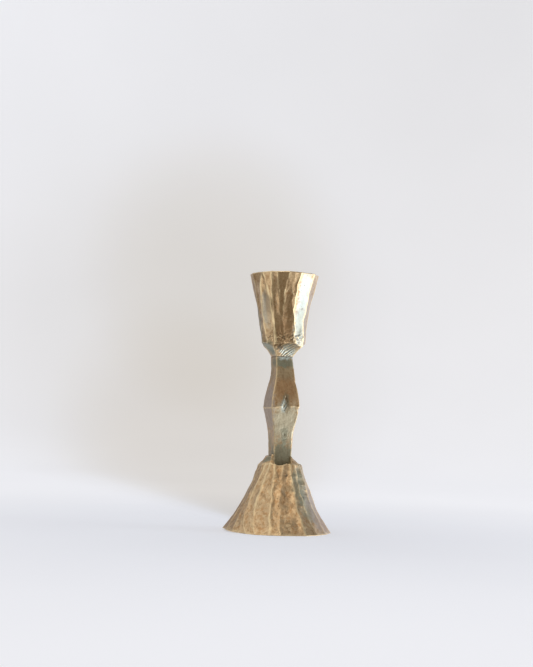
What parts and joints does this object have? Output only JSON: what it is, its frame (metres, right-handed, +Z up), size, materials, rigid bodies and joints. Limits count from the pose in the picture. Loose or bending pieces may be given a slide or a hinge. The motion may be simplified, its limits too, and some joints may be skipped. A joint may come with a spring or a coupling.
{
  "type": "candlestick",
  "caption": "Hand-hammered brass candlestick: flared candle cup on a square stem with a swell, screwed to a hollow bell foot.",
  "frame": {"origin": "centre of the foot's rim, on the surface that the candlestick stands on", "axes": "+Z up the stem to the cup's mouth; +X and +Y square to the stem's flat faces"},
  "size_m": [0.0712, 0.0712, 0.17],
  "materials": {
    "foot_brass": "hammered and aged, satin, with brown and grey-green toning in the hollows",
    "stem_brass": "forged flat faces, satin, with sharp bright arrises and dark toning at both ends",
    "cup_brass": "hammered and aged, brighter than the foot, with worn light ridges",
    "screw_steel": "zinc-plated, dull",
    "washer_steel": "zinc-plated, dull"
  },
  "bodies": {
    "root": {"foot_shell": "foot_brass", "stem": "stem_brass", "socket_cup": "cup_brass", "neck_stud": "screw_steel", "foot_bolt": "screw_steel", "plain_washer": "washer_steel", "spring_washer": "washer_steel"}
  },
  "joints": []
}
